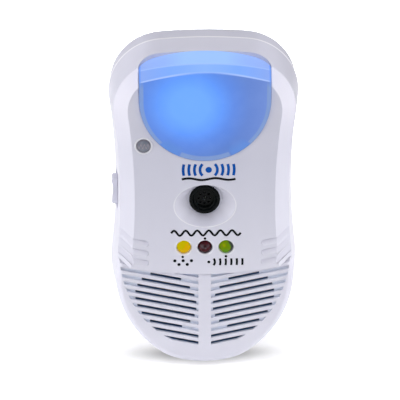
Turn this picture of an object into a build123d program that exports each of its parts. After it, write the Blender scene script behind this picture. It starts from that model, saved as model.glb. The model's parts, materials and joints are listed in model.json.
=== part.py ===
from build123d import *
import os
from math import atan, degrees, hypot, radians, sqrt, tan

# Plug-in ultrasonic pest repeller with a night light. Millimetres, +Z up, front towards -Y.
# The origin is midway between the plug blades, on the rear face that rests against the wall.
# "Depth" is the distance in front of the wall, so depth d is the plane Y = -d.

# ---- driving dimensions -------------------------------------------------------------------

# Housing outline seen from the front, at the outer edge of the bevelled band.
top_radius = 182.5            # shallow arch over the top
shoulder_radius = 18.36
shoulder_centre = (14.02, 32.21)
waist_radius = 221.0          # hollow sides
flank_radius = 39.0           # widest part, beside the lower edge of the panel
flank_centre = (-6.67, -32.79)
corner_radius = 15.1          # lower corners
foot_radius = 37.4            # round lower end
foot_z = -68.74               # lowest point

# Depths of the housing.
seam_depth = 10.0             # rear cover ends, front cover begins
band_depth = 27.5             # outer edge of the band
panel_depth = 30.5            # front panel
grille_depth = 29.2           # face of the grilles
seam_grow = 1.85              # how much the outline grows from the band to the seam
wall_side_grow = 1.4          # the same from the band to the rounded edge at the wall
wall_edge_radius = 1.8
seam_step = 0.25              # the rear cover stands in from the front cover at the seam
band_width = 5.13
panel_edge_x = 26.0           # typical half-width of the panel between the ribs
wall = 2.0
grille_back_depth = 26.8      # inner face behind the grilles
panel_back_depth = 28.4       # inner face behind the panel

# Lower edge of the front panel, where the grilles begin.
panel_foot = -31.4
panel_corner = (26.95, -28.8)
band_foot_slope = 0.68
grille_edge_radius = 2.8

# Grilles: slanted slots inside an oval, cut right through only over the speakers.
slot_count = 11
slot_pitch = 2.75
slot_height = 1.3
slot_start = -32.8            # height of the first slot's middle, at the spine
slot_angle = 12.2
spine_half = 2.33
slot_field_half_width = 30.8
slot_field_half_height = 37.8
slot_field_z = -24.0
slot_pocket = 0.8
open_slot_count = 2           # the lowest slots, open all the way along
speaker_x = 14.2
speaker_z = -42.7
aperture_radius = 11.2

# Ribs on the band and the panel.
rib_count = 3
rib_pitch = 3.83
rib_start = -16.9
rib_height = 2.4
rib_depth = 0.9
rib_inner_x = 20.3
rib_panel_slope = 0.2         # the groove falls towards the middle of the panel
rib_band_slope = 0.76         # and climbs steeply across the band
rib_gap = 0.75                # left between two grooves on the band

# Night-light lens.
lens_half = 23.15
lens_z = 36.6                 # centre of its round lower end
lens_top_radius = 64.0
lens_top = 51.87
lens_back_depth = 21.8
lens_corner = 6.0             # rear corners, seen from above
dome_radius = 60.0
dome_z = 39.2
dome_depth = 36.45            # furthest point of the dome
strip_radius = 42.0           # bevel strip under the top face: a cone about a vertical axis
strip_z = 48.6                # height at which the strip has this radius and this depth
strip_depth = 35.8
strip_slope = 0.48
lens_wall = 1.6
lens_gap = 0.15
lens_rear_lip = 4.5           # rear wall left under the top face
flange_rim = 0.8              # how far the flange reaches under the panel
flange_thickness = 1.3

# Tray behind the lens and its lamps.
tray_gap = 0.4                # between the tray and the lens
tray_wall = 1.2
tray_back_depth = 18.4
tray_front_depth = 26.9
tray_top = 46.9
tray_hole_z = 29.2
lamp_board_depth = 20.8
lamp_z = 37.2
lamp_pitch = 9.5

# Dish with the outlet cap, indicator row, photocell.
dish_z = -4.2
dish_half_width = 10.9
dish_half_height = 8.2
dish_floor_depth = 25.6
dish_wall = 1.6
cap_z = -3.7
cap_radius = 5.6
cap_neck = 4.4
cap_height = 0.8
cap_ledge = 0.65              # ring of dish floor left around the cap
led_z = -20.65
led_pitch = 7.62
led_radius = 2.5
photocell_x = -21.8
photocell_z = 19.4
photocell_radius = 2.5

# Side slide knob.
knob_z = -3.7
knob_length = 9.6
knob_depth = 15.0
knob_width = 5.8
knob_face_x = 33.5
knob_hollow_drop = 0.6
knob_hollow_radius = 14.0
knob_pad_x = 31.2             # flat on the side wall, under the knob
knob_pad_half_height = 7.0
knob_pad_half_depth = 3.6
knob_travel = 1.5             # each way from the middle
knob_neck_half = 1.5

# Plug.
blade_spacing = 12.7
blade_width = 6.35
blade_thickness = 1.52
blade_length = 17.0
blade_hole_radius = 1.98
blade_hole_reach = 11.9
blade_clearance = 0.12

# Main circuit board.
board_half = 25.0
board_top = 24.5
board_bottom = -27.0
board_front = 12.0
board_thickness = 1.6
board_back = board_front - board_thickness
board_screw_x = 21.5
board_screw_levels = (10.0, -24.0)

# Blade retainer.
tail_depth = 8.0              # the blades' solder tails end here
shoulder_half = 4.8
retainer_pocket_depth = 3.5
retainer_ear_depth = 4.5
retainer_depth = 6.0
post_x = 14.5

# Parts behind the front.
leg_radius = 0.25
leg_pitch = 2.54
module_front = 21.0           # front of the ioniser block
speaker_back = 17.0
speaker_front = 26.0
speaker_wall = 1.2
piezo_depth = 19.6
switch_outer_x = 28.2
switch_inner_x = 24.2
switch_half = 4.7
switch_front = 18.0
switch_base_depth = 12.75
coil_x = 17.0
coil_low = -12.0
coil_high = 0.0
coil_depth = 18.5
coil_flange = 0.8

label_z = -30.0               # blank recess for a rating label
label_recess = 0.25
cover_head_seat = 2.6         # depth the cover screws' heads sit at
boss_hole_depth = 20.0
cover_boss_hole = 1.15
board_boss_hole = 1.0
board_boss_radius = 2.4
cover_screw_places = ((-27.4, 31.0), (27.4, 31.0), (0.0, -62.8))
cover_boss_radius = 3.0
lip_end_depth = 11.8          # inner lip of the rear cover, inside the front cover
lip_wall = 1.15
seat = 0.02                   # clearance between parts that rest on each other


# A height and a width no part of the housing reaches, for cutting shapes.
beyond = 60.0


# ---- helpers ------------------------------------------------------------------------------

def at(depth):
    """Plane parallel to the wall, facing the room."""
    return Plane.XZ.offset(depth)


def block(x0, x1, z0, z1, near, far):
    """Block between two x, two z and two depths."""
    face = at(near) * Pos((x0 + x1) / 2, (z0 + z1) / 2) * Rectangle(x1 - x0, z1 - z0)
    return extrude(face, far - near)


def soft_block(x0, x1, z0, z1, near, far, radius):
    """Block with its four long edges rounded."""
    face = at(near) * Pos((x0 + x1) / 2, (z0 + z1) / 2) * RectangleRounded(x1 - x0, z1 - z0, radius)
    return extrude(face, far - near)


def rod(x, z, near, far, radius):
    """Cylinder along the depth."""
    return extrude(at(near) * Pos(x, z) * Circle(radius), far - near)


def taper(x, z, near, far, near_radius, far_radius):
    """Cone along the depth."""
    return loft([at(near) * Pos(x, z) * Circle(near_radius), at(far) * Pos(x, z) * Circle(far_radius)])


def point(x, z, depth):
    return Vector(x, -depth, z)


def wire(points, radius):
    """Round wire through the points."""
    path = Spline(*points)
    start = Plane(origin=path @ 0, z_dir=path % 0)
    return sweep(start * Circle(radius), path=path)


def both_sides(shape):
    return shape + mirror(shape, about=Plane.YZ)


# ---- housing outline ----------------------------------------------------------------------

def reach(centre, radius, towards):
    """Point at the radius from a centre, in the direction of another point."""
    length = hypot(towards[0] - centre[0], towards[1] - centre[1])
    x = centre[0] + radius * (towards[0] - centre[0]) / length
    z = centre[1] + radius * (towards[1] - centre[1]) / length
    return x, z


def touching_centre(first, first_distance, second, second_distance):
    """Point at given distances from two centres, on the outer side of the housing."""
    gap = hypot(second[0] - first[0], second[1] - first[1])
    along = (first_distance**2 - second_distance**2 + gap**2) / (2 * gap)
    aside = sqrt(first_distance**2 - along**2)
    ux = (second[0] - first[0]) / gap
    uz = (second[1] - first[1]) / gap
    return first[0] + along * ux - aside * uz, first[1] + along * uz + aside * ux


def bowed(centre, radius, start, end):
    """Arc about a centre, the short way from start to end."""
    middle = reach(centre, radius, ((start[0] + end[0]) / 2, (start[1] + end[1]) / 2))
    return ThreePointArc(start, middle, end)


def flipped(place):
    return -place[0], place[1]


def outline(inset):
    """Housing outline moved inwards by inset: arch, shoulders, hollow sides, flanks, round end."""
    top_centre = (0.0, shoulder_centre[1] - sqrt((top_radius - shoulder_radius)**2 - shoulder_centre[0]**2))
    foot_centre = (0.0, foot_z + foot_radius)
    waist_centre = touching_centre(shoulder_centre, waist_radius + shoulder_radius,
                                   flank_centre, waist_radius + flank_radius)
    corner_centre = touching_centre(foot_centre, foot_radius - corner_radius,
                                    flank_centre, flank_radius - corner_radius)
    arch_end = reach(top_centre, top_radius - inset, shoulder_centre)
    shoulder_end = reach(shoulder_centre, shoulder_radius - inset, waist_centre)
    waist_end = reach(flank_centre, flank_radius - inset, waist_centre)
    flank_end = reach(flank_centre, flank_radius - inset, corner_centre)
    corner_end = reach(foot_centre, foot_radius - inset, corner_centre)
    side = [
        bowed(shoulder_centre, shoulder_radius - inset, arch_end, shoulder_end),
        bowed(waist_centre, waist_radius + inset, shoulder_end, waist_end),
        bowed(flank_centre, flank_radius - inset, waist_end, flank_end),
        bowed(corner_centre, corner_radius - inset, flank_end, corner_end),
    ]
    arch = ThreePointArc(flipped(arch_end), (0.0, top_centre[1] + top_radius - inset), arch_end)
    foot = ThreePointArc(corner_end, (0.0, foot_z + inset), flipped(corner_end))
    return make_face([arch, foot] + side + [mirror(edge, about=Plane.YZ) for edge in side])


def side_inset(depth):
    """How far the side wall has come in from the band's outer edge at a depth."""
    return -seam_grow * (band_depth - depth) / (band_depth - seam_depth)


def wall_section(depth, inward=0.0):
    """Slice of the side wall at a depth, moved inwards."""
    return at(depth) * outline(side_inset(depth) + inward)


def drum(near, far, inward=0.0):
    """Body bounded by the side wall, between two depths."""
    return loft([wall_section(near, inward), wall_section(far, inward)], ruled=True)


# ---- night-light lens ---------------------------------------------------------------------

def lens_tongue(inset, near, far, top=beyond):
    """Prism with the lens's outline: straight sides and a round lower end."""
    half = lens_half - inset
    edges = [
        ThreePointArc((-half, lens_z), (0.0, lens_z - half), (half, lens_z)),
        Polyline((half, lens_z), (half, top), (-half, top), (-half, lens_z)),
    ]
    return extrude(at(near) * make_face(edges), far - near)


def bevel_strip(inset):
    """Solid cone whose side is the bevel strip of the lens."""
    low_radius = strip_radius + strip_slope * strip_z - inset
    high_radius = strip_radius + strip_slope * (strip_z - beyond) - inset
    cone = Cone(low_radius, high_radius, beyond, align=(Align.CENTER, Align.CENTER, Align.MIN))
    return Pos(0, strip_radius - strip_depth, 0) * cone


def topless_lens(inset):
    """The lens as a full body without its top face, all its faces moved inwards."""
    half = lens_half - inset
    back = lens_back_depth + inset
    plan = Rectangle(2 * half, beyond, align=(Align.CENTER, Align.MAX))
    plan = fillet(plan.vertices().group_by(Axis.Y)[-1], lens_corner - inset)
    body = lens_tongue(inset, back, back + beyond) & extrude(Pos(0, -back) * plan, beyond)
    body &= Pos(0, dome_radius - dome_depth, dome_z) * Sphere(dome_radius - inset)
    return body & bevel_strip(inset)


def lens_bulk(inset):
    """The lens as a full body, all its faces moved inwards."""
    return topless_lens(inset) & rod(0, lens_top - lens_top_radius, 0.0, beyond, lens_top_radius - inset)


def night_light_lens():
    """Thin domed shell, open at the back, with a flange that sits behind the panel."""
    flange_far = panel_back_depth - 0.1
    flange_near = flange_far - flange_thickness
    flange_top = lens_z + 0.5
    shell = lens_bulk(0) - lens_bulk(lens_wall)
    shell -= lens_tongue(lens_wall, 0.0, flange_far, top=lens_top - lens_rear_lip)
    shell -= lens_tongue(-1.0, 0.0, flange_near, top=flange_top + 1.5)
    flange = lens_tongue(-flange_rim, flange_near, flange_far, top=flange_top)
    return shell + (flange - lens_tongue(lens_wall, 0.0, beyond))


# ---- covers -------------------------------------------------------------------------------

def panel_region():
    """Sketch of everything above the curved lower edge of the panel."""
    outer = (beyond, panel_corner[1] + band_foot_slope * (beyond - panel_corner[0]))
    sides = Polyline(panel_corner, outer, (beyond, 2 * beyond), (-beyond, 2 * beyond), flipped(outer),
                     flipped(panel_corner))
    return make_face([ThreePointArc(flipped(panel_corner), (0.0, panel_foot), panel_corner), sides])


def slot_level(index, x):
    """Height of a slot's middle at a distance from the spine's axis."""
    return slot_start - index * slot_pitch + (x - spine_half) * tan(radians(slot_angle))


def slots(first, last):
    """Sketch of the slanted slots first to last, both sides of the spine."""
    bars = []
    for index in range(first, last):
        middle = slot_level(index, 0.0)
        bars.append(Pos(0, middle) * Rot(0, 0, slot_angle)
                    * Rectangle(beyond, slot_height, align=(Align.MIN, Align.CENTER)))
        bars.append(Pos(0, middle) * Rot(0, 0, -slot_angle)
                    * Rectangle(beyond, slot_height, align=(Align.MAX, Align.CENTER)))
    field = Pos(0, slot_field_z) * Ellipse(slot_field_half_width, slot_field_half_height)
    field -= Rectangle(2 * spine_half, 4 * beyond)
    field -= panel_region()
    return (Sketch() + bars) & field


def speaker_openings():
    """Sketch of the slots that are cut right through, as wide as the speaker behind them."""
    openings = []
    for index in range(slot_count - open_slot_count):
        drop = slot_level(index, speaker_x) - speaker_z
        if abs(drop) < aperture_radius:
            width = 2 * sqrt(aperture_radius**2 - drop**2)
            window = Pos(speaker_x, speaker_z) * Rectangle(width, beyond)
            window += Pos(-speaker_x, speaker_z) * Rectangle(width, beyond)
            openings.append(slots(index, index + 1) & window)
    openings.append(slots(slot_count - open_slot_count, slot_count))
    return Sketch() + openings


def rib_ramp(start, end, height):
    """Wedge between two points on the surface: deep at its upper edge, nothing at its lower."""
    low_start = start - Vector(0, 0, height)
    low_end = end - Vector(0, 0, height)
    deep_start = start + Vector(0, rib_depth, 0)
    deep_end = end + Vector(0, rib_depth, 0)
    face = make_face(Polyline(low_start, low_end, deep_end, deep_start, close=True))
    return extrude(face, amount=3.0, dir=(0, -1, 0))


def rib_cut(level):
    """Groove on the right side, across the panel's edge and the band."""
    corner = point(panel_edge_x, level, panel_depth)
    tip_x = rib_inner_x - 1.0
    tip = point(tip_x, level - rib_panel_slope * (panel_edge_x - tip_x), panel_depth)
    on_panel = rib_ramp(tip, corner, rib_height)
    length = panel_edge_x + 3.0 - rib_inner_x
    middle_x = rib_inner_x + length / 2
    middle_z = level - rib_panel_slope * (panel_edge_x - middle_x) - rib_height / 2
    tilt = degrees(atan(rib_panel_slope))
    rounded = Pos(middle_x, middle_z) * Rot(0, 0, tilt) * SlotOverall(length, rib_height)
    on_panel &= extrude(at(panel_depth - 2.0) * rounded, 6.0)
    run = band_width + 0.8
    fall = (panel_depth - band_depth) * run / band_width
    outer = point(panel_edge_x + run, level + rib_band_slope * run, panel_depth - fall)
    return on_panel + rib_ramp(corner, outer, rib_pitch - rib_gap)


def housing_front():
    """Outside of the front cover: bevelled plate above, rounded grille body below."""
    band = drum(seam_depth, band_depth)
    bevel = loft([wall_section(band_depth), at(panel_depth) * outline(band_width)], ruled=True)
    region = extrude(at(0) * panel_region(), beyond)
    low = drum(seam_depth, grille_depth)
    front_edges = low.faces().sort_by(Axis.Y)[0].edges()
    low = fillet(front_edges, grille_edge_radius)
    return ((band + bevel) & region) + (low - region)


def front_cavity():
    """Hollow of the front cover."""
    hollow = drum(seam_depth - 1.0, grille_back_depth, wall)
    upper = loft([wall_section(grille_back_depth, wall), at(panel_back_depth) * outline(band_width + wall)],
                 ruled=True)
    above_grilles = panel_corner[1] + 0.8
    return hollow + (upper & block(-beyond, beyond, above_grilles, beyond, 0.0, beyond))


def dish_hub():
    """Material behind the oval dish."""
    half_width = dish_half_width + dish_wall
    half_height = dish_half_height + dish_wall
    oval = at(panel_back_depth + 0.5) * Pos(0, dish_z) * Ellipse(half_width, half_height)
    ring = at(dish_floor_depth - dish_wall) * Pos(0, cap_z) * Circle(cap_radius + cap_ledge + 1.2)
    return loft([ring, oval])


def dish_cut():
    """The oval dish itself and the hole for the outlet cap's neck."""
    oval = at(panel_depth) * Pos(0, dish_z) * Ellipse(dish_half_width, dish_half_height)
    floor = at(dish_floor_depth) * Pos(0, cap_z) * Circle(cap_radius + cap_ledge)
    return loft([floor, oval]) + rod(0, cap_z, 20.0, dish_floor_depth + 1.0, cap_neck + 0.1)


def cover_bosses():
    """Pillars for the cover screws; the lowest one is trimmed to the round end's wall."""
    lower_x, lower_z = cover_screw_places[-1]
    near = lip_end_depth + 0.2
    bosses = rod(lower_x, lower_z, near, grille_back_depth + 0.2, cover_boss_radius)
    bosses &= drum(near, band_depth, 1.0)
    for x, z in cover_screw_places[:-1]:
        bosses += rod(x, z, near, panel_back_depth + 0.2, cover_boss_radius)
    return bosses


def board_bosses():
    """Pillars the main board is screwed to."""
    bosses = Part()
    for x in (-board_screw_x, board_screw_x):
        for z in board_screw_levels:
            bosses += rod(x, z, board_front, panel_back_depth + 0.2, board_boss_radius)
    return bosses


def boss_holes():
    """Blind screw holes in all the pillars."""
    holes = Part()
    for x, z in cover_screw_places:
        holes += rod(x, z, lip_end_depth, boss_hole_depth, cover_boss_hole)
    for x in (-board_screw_x, board_screw_x):
        for z in board_screw_levels:
            holes += rod(x, z, lip_end_depth, boss_hole_depth, board_boss_hole)
    return holes


def indicator_holes():
    """Three round holes with a chamfered mouth."""
    holes = Part()
    hole = led_radius + 0.15
    for x in (-led_pitch, 0, led_pitch):
        holes += rod(x, led_z, panel_back_depth - 1.0, panel_depth + 1.0, hole)
        holes += taper(x, led_z, panel_depth - 0.3, panel_depth + 0.1, hole, hole + 0.45)
    return holes


def knob_recess():
    """Flat pad on the left side wall and the slot the knob's neck slides in."""
    pad = block(-beyond, -knob_pad_x, knob_z - knob_pad_half_height, knob_z + knob_pad_half_height,
                knob_depth - knob_pad_half_depth, knob_depth + knob_pad_half_depth)
    half = knob_neck_half + knob_travel + 0.15
    return pad + block(-beyond, -26.0, knob_z - half, knob_z + half, knob_depth - 1.55, knob_depth + 1.55)


def front_cover():
    body = housing_front() - front_cavity()
    body += cover_bosses()
    body += board_bosses()
    body -= boss_holes()
    body += dish_hub()
    body -= dish_cut()
    body -= topless_lens(-lens_gap)
    body -= indicator_holes()
    body += rod(photocell_x, photocell_z, panel_depth - 0.5, panel_depth + 0.25, photocell_radius + 0.6)
    body -= rod(photocell_x, photocell_z, panel_back_depth - 1.0, panel_depth + 1.0, photocell_radius + 0.1)
    body -= extrude(at(grille_depth - slot_pocket) * slots(0, slot_count), 5.0)
    body -= extrude(at(grille_back_depth - 1.0) * speaker_openings(), 5.0)
    for index in range(rib_count):
        body -= both_sides(rib_cut(rib_start - index * rib_pitch))
    return body - knob_recess()


def rear_cover():
    """Shallow shell with the flat plug face, the lip and the screw bosses."""
    seam_inset = seam_step - seam_grow
    body = loft([at(0) * outline(-wall_side_grow), at(seam_depth) * outline(seam_inset)], ruled=True)
    body = fillet(body.faces().sort_by(Axis.Y)[-1].edges(), wall_edge_radius)
    floor = at(wall) * outline(wall - wall_side_grow)
    body -= loft([floor, at(seam_depth + 0.1) * outline(wall + seam_inset)], ruled=True)
    lip_inset = wall + 0.15
    lip = drum(seam_depth - 0.8, lip_end_depth, lip_inset)
    body += lip - drum(seam_depth - 1.5, lip_end_depth + 1.0, lip_inset + lip_wall)
    inside_lip = drum(0.0, lip_end_depth, lip_inset)
    for x, z in cover_screw_places:
        body += rod(x, z, 1.0, lip_end_depth, 3.7) & inside_lip
    for x, z in cover_screw_places:
        body -= rod(x, z, -1.0, cover_head_seat, 2.6)
        body -= rod(x, z, 0.0, lip_end_depth + 1.0, 1.3)
    for x in (-post_x, post_x):
        body += rod(x, 0, 1.0, retainer_ear_depth, 2.4)
        body -= rod(x, 0, 1.1, 8.0, 0.95)
    half_thick = blade_thickness / 2 + blade_clearance
    half_wide = blade_width / 2 + blade_clearance
    for x in (-blade_spacing / 2, blade_spacing / 2):
        body -= block(x - half_thick, x + half_thick, -half_wide, half_wide, -1.0, wall + 1.0)
    label = at(-1.0) * Pos(0, label_z) * RectangleRounded(40.0, 22.0, 2.0)
    return body - extrude(label, 1.0 + label_recess)


# ---- plug ---------------------------------------------------------------------------------

def plug_blades():
    """Two flat blades with a shoulder inside the cover and a solder tail."""
    blades = []
    half = blade_thickness / 2
    for x in (-blade_spacing / 2, blade_spacing / 2):
        face = Plane.YZ.offset(x - half) * Pos((blade_length - tail_depth) / 2, 0)
        bar = extrude(face * Rectangle(blade_length + tail_depth, blade_width), blade_thickness)
        tip = bar.edges().filter_by(Axis.X).group_by(Axis.Y)[-1]
        bar = chamfer(tip, 1.2)
        bar += block(x - half, x + half, -shoulder_half, shoulder_half,
                     wall + seat, retainer_pocket_depth - 0.05)
        hole = Plane.YZ.offset(x - blade_thickness) * Pos(blade_hole_reach, 0) * Circle(blade_hole_radius)
        blades.append(bar - extrude(hole, 2 * blade_thickness))
    return blades


def blade_retainer():
    """Clamping plate over the blade shoulders, with an ear over each post."""
    plate = soft_block(-11.0, 11.0, -7.0, 7.0, wall + seat, retainer_depth, 1.2)
    plate += soft_block(-17.6, 17.6, -3.2, 3.2, retainer_ear_depth + seat, retainer_depth, 1.5)
    gap = 0.1
    half = blade_thickness / 2 + gap
    pocket = shoulder_half + gap
    passage = blade_width / 2 + gap
    for x in (-blade_spacing / 2, blade_spacing / 2):
        plate -= block(x - half, x + half, -pocket, pocket, 0.0, retainer_pocket_depth)
        plate -= block(x - half, x + half, -passage, passage, 0.0, retainer_depth + 1.0)
    for x in (-post_x, post_x):
        plate -= rod(x, 0, 0.0, retainer_depth + 1.0, 1.15)
    return plate


def screw(x, z, seat_depth, head_end, tip, head_radius, shank_radius):
    """Cross-head screw; its head lies between the seat and the head's end."""
    head = rod(x, z, min(seat_depth, head_end), max(seat_depth, head_end), head_radius)
    shank = rod(x, z, min(seat_depth, tip), max(seat_depth, tip), shank_radius)
    arm = head_radius * 0.6
    half = 0.25
    near = head_end - 0.6
    far = head_end + 0.6
    drive = block(x - arm, x + arm, z - half, z + half, near, far)
    drive += block(x - half, x + half, z - arm, z + arm, near, far)
    return head + shank - drive


def retainer_screws():
    head_seat = retainer_depth + seat
    return [screw(x, 0, head_seat, head_seat + 1.4, 1.4, 2.1, 0.9) for x in (-post_x, post_x)]


def cover_screws():
    return [screw(x, z, cover_head_seat - seat, 1.0, 17.0, 2.4, 1.1) for x, z in cover_screw_places]


def board_screws():
    return [screw(x, z, board_back - seat, board_back - 1.6, 18.0, 2.3, 0.95)
            for x in (-board_screw_x, board_screw_x) for z in board_screw_levels]


# ---- night light --------------------------------------------------------------------------

def tray_body(inset, near, top):
    """Full body of the tray, kept clear of the lens and of the housing's walls."""
    gap = lens_wall + tray_gap + inset
    tongue = lens_tongue(gap, near, tray_front_depth, top)
    return tongue & drum(near, tray_front_depth, wall + tray_gap + inset)


def night_light_reflector():
    """White tray behind the lens."""
    outer = tray_body(0.0, tray_back_depth, tray_top)
    hollow = tray_body(tray_wall, tray_back_depth + tray_wall, tray_top - tray_wall)
    return outer - hollow - rod(0, tray_hole_z, tray_back_depth - 1.0, tray_back_depth + tray_wall + 1.0, 1.8)


def night_light_board():
    half_width = 15.0
    half_height = 6.0
    near = tray_back_depth + tray_wall + seat
    return soft_block(-half_width, half_width, lamp_z - half_height, lamp_z + half_height,
                      near, lamp_board_depth, 1.0)


def night_light_leds():
    """Three square lamps, each with a round well."""
    lamps = []
    half = 2.5
    near = lamp_board_depth + seat
    far = near + 1.6
    for x in (-lamp_pitch, 0, lamp_pitch):
        lamp = block(x - half, x + half, lamp_z - half, lamp_z + half, near, far)
        lamps.append(lamp - rod(x, lamp_z, far - 0.5, far + 0.5, 2.0))
    return lamps


# ---- photocell, outlet, indicators --------------------------------------------------------

def photocell():
    """Light-dependent resistor on two legs."""
    disc = rod(photocell_x, photocell_z, 25.2, 27.2, 2.3)
    for side in (-1, 1):
        disc += rod(photocell_x + side * leg_pitch / 2, photocell_z, board_front + seat, 25.4, leg_radius)
    return disc


def photocell_window():
    """Clear plug with a crowned face and a flange behind the panel."""
    crown_radius = 7.0
    crown_height = 0.7
    crown = Pos(photocell_x, crown_radius - crown_height - panel_depth, photocell_z) * Sphere(crown_radius)
    plug = rod(photocell_x, photocell_z, 27.4, panel_depth + 1.0, photocell_radius) & crown
    flange = rod(photocell_x, photocell_z, 27.25, panel_back_depth - 0.4, photocell_radius + 0.4)
    return plug + flange


def outlet_cap():
    """Black cap: stepped rings around a perforated floor, with a hole for the needle."""
    near = dish_floor_depth + seat
    far = near + cap_height
    base = near - 3.0
    cap = rod(0, cap_z, near, far, cap_radius)
    cap = fillet(cap.faces().sort_by(Axis.Y)[0].edges(), 0.6)
    cap += rod(0, cap_z, base, near + 0.1, cap_neck)
    cap -= taper(0, cap_z, far - 0.7, far + 0.01, 3.9, 4.4)
    cap -= rod(0, cap_z, near - 1.0, far, 3.4)
    cap -= rod(0, cap_z, base - 1.0, near - 2.0, 3.5)
    cap -= rod(0, cap_z, base, near, 0.8)
    holes = Sketch() + PolarLocations(2.1, 8) * Circle(0.42)
    cap -= extrude(at(base) * Pos(0, cap_z) * holes, 3.0)
    return cap


def ion_needle():
    """Pointed pin in the middle of the cap."""
    cone_depth = 24.4
    return (rod(0, cap_z, module_front + 0.2, cone_depth, 0.35)
            + taper(0, cap_z, cone_depth, cone_depth + 1.8, 0.35, 0.05))


def needle_holder():
    near = module_front + seat
    return rod(0, cap_z, near, near + 1.58, 3.2) - rod(0, cap_z, near - 1.0, near + 3.0, 0.4)


def ioniser_module():
    """Sealed high-voltage block."""
    half_width = 8.5
    half_height = 8.0
    body = soft_block(-half_width, half_width, cap_z - half_height, cap_z + half_height,
                      board_front + seat, module_front, 1.2)
    return body - rod(0, cap_z, module_front - 0.1, module_front + 1.0, 0.4)


def indicator(x):
    """5 mm indicator lamp: collar, barrel, dome and two legs."""
    collar_near = 22.6
    barrel_end = 28.7
    lamp = rod(x, led_z, collar_near, collar_near + 1.0, led_radius + 0.4)
    lamp += rod(x, led_z, collar_near + 0.9, barrel_end, led_radius)
    lamp += Pos(x, -barrel_end, led_z) * Sphere(led_radius)
    for side in (-1, 1):
        lamp += rod(x + side * leg_pitch / 2, led_z, board_front + seat, collar_near + 0.1, leg_radius)
    return lamp


def led_spacers():
    """Tubes that hold the indicators off the board."""
    near = board_front + seat
    return [rod(x, led_z, near, 22.58, led_radius + 0.4) - rod(x, led_z, near - 1.0, 24.0, 1.9)
            for x in (-led_pitch, 0, led_pitch)]


# ---- speakers -----------------------------------------------------------------------------

def at_speakers(shape_for):
    return [shape_for(-speaker_x), shape_for(speaker_x)]


def speaker_frame(x):
    """Cup with a front flange and a closed back with two wire holes."""
    flange_near = 24.4
    cup = rod(x, speaker_z, flange_near, speaker_front, 13.0)
    cup += rod(x, speaker_z, speaker_back, flange_near + 0.1, 11.8)
    cup -= rod(x, speaker_z, speaker_back + speaker_wall, speaker_front + 1.0, 10.9)
    for side in (-1, 1):
        cup -= rod(x + side * 6.5, speaker_z, speaker_back - 1.0, speaker_back + speaker_wall + 1.0, 1.5)
    return cup


def speaker_cone(x):
    """Thin cone glued to the frame's rim and to the piezo disc."""
    rim_depth = 25.2
    outer = taper(x, speaker_z, piezo_depth + seat, rim_depth, 3.6, 10.8)
    inner = taper(x, speaker_z, piezo_depth, rim_depth + 0.1, 3.3, 10.6)
    rim = rod(x, speaker_z, rim_depth - 0.3, rim_depth, 10.85)
    rim -= rod(x, speaker_z, rim_depth - 1.0, rim_depth + 1.0, 10.2)
    return outer - inner + rim


def piezo_disc(x):
    """Disc on a short stem that stands on the cup's floor."""
    stem = rod(x, speaker_z, speaker_back + speaker_wall + seat, piezo_depth - 0.4, 2.0)
    return stem + rod(x, speaker_z, piezo_depth - 0.5, piezo_depth, 8.5)


def speaker_gasket(x):
    near = speaker_front + seat
    far = grille_back_depth - seat
    return rod(x, speaker_z, near, far, 12.9) - rod(x, speaker_z, near - 1.0, far + 1.0, 11.3)


# ---- side slide switch --------------------------------------------------------------------

def slide_knob():
    """Finger grip with raised ends and ridges, and a neck through the wall."""
    half = knob_length / 2
    inner = -(knob_pad_x + 0.15)
    near = knob_depth - knob_width / 2
    far = knob_depth + knob_width / 2
    grip = block(-knob_face_x, inner, knob_z - half, knob_z + half, near, far)
    grip = fillet(grip.edges().filter_by(Axis.Y).group_by(Axis.X)[0], 0.7)
    hollow_x = knob_face_x - knob_hollow_drop + knob_hollow_radius
    hollow = rod(-hollow_x, knob_z, near - 1, far + 1, knob_hollow_radius)
    ridges = Part()
    for step in (-2, -1, 0, 1, 2):
        ridges += rod(-(knob_face_x - 0.75), knob_z + 1.4 * step, near + 0.8, far - 0.8, 0.35)
    grip = grip - hollow + ridges
    neck_half_depth = 1.4
    grip += block(inner - 0.1, -28.5, knob_z - knob_neck_half, knob_z + knob_neck_half,
                  knob_depth - neck_half_depth, knob_depth + neck_half_depth)
    return grip - block(-30.3, -28.0, knob_z - 1.05, knob_z + 1.05, knob_depth - 0.8, knob_depth + 0.8)


def switch_box(inset, near, far):
    """Full box the size of the switch, moved inwards."""
    return block(-switch_outer_x + inset, -switch_inner_x - inset, knob_z - switch_half + inset,
                 knob_z + switch_half - inset, near, far)


def slide_switch_case():
    """Folded metal case with a window for the lever."""
    sheet = 0.4
    case = switch_box(0.0, board_front + seat, switch_front) - switch_box(sheet, 0.0, switch_front - sheet)
    return case - block(-29.0, -27.0, knob_z - 3.2, knob_z + 3.2, knob_depth - 1.0, knob_depth + 1.0)


def slide_switch_base():
    return switch_box(0.45, board_front + seat, switch_base_depth)


def slide_switch_terminals():
    near = switch_base_depth + seat
    return [rod(-26.2, knob_z + step, near, near + 0.28, 0.5) for step in (-2.4, 0, 2.4)]


def slide_switch_slider():
    slider = block(-27.6, -25.4, knob_z - 1.8, knob_z + 1.8, 13.25, 17.3)
    lever = block(-30.2, -27.5, knob_z - 1.0, knob_z + 1.0, knob_depth - 0.75, knob_depth + 0.75)
    return slider + lever


def slide_switch_contact():
    """Bowed spring strip on the back of the slider."""
    path = ThreePointArc((-25.24, knob_z - 1.7), (-24.9, knob_z), (-25.24, knob_z + 1.7))
    return extrude(at(13.8) * trace(path, 0.2), 2.8)


# ---- main circuit board -------------------------------------------------------------------

def main_circuit_board():
    board = soft_block(-board_half, board_half, board_bottom, board_top, board_back, board_front, 2.0)
    for x in (-board_screw_x, board_screw_x):
        for z in board_screw_levels:
            board -= rod(x, z, board_back - 1.0, board_front + 1.0, 1.4)
    return board


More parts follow.
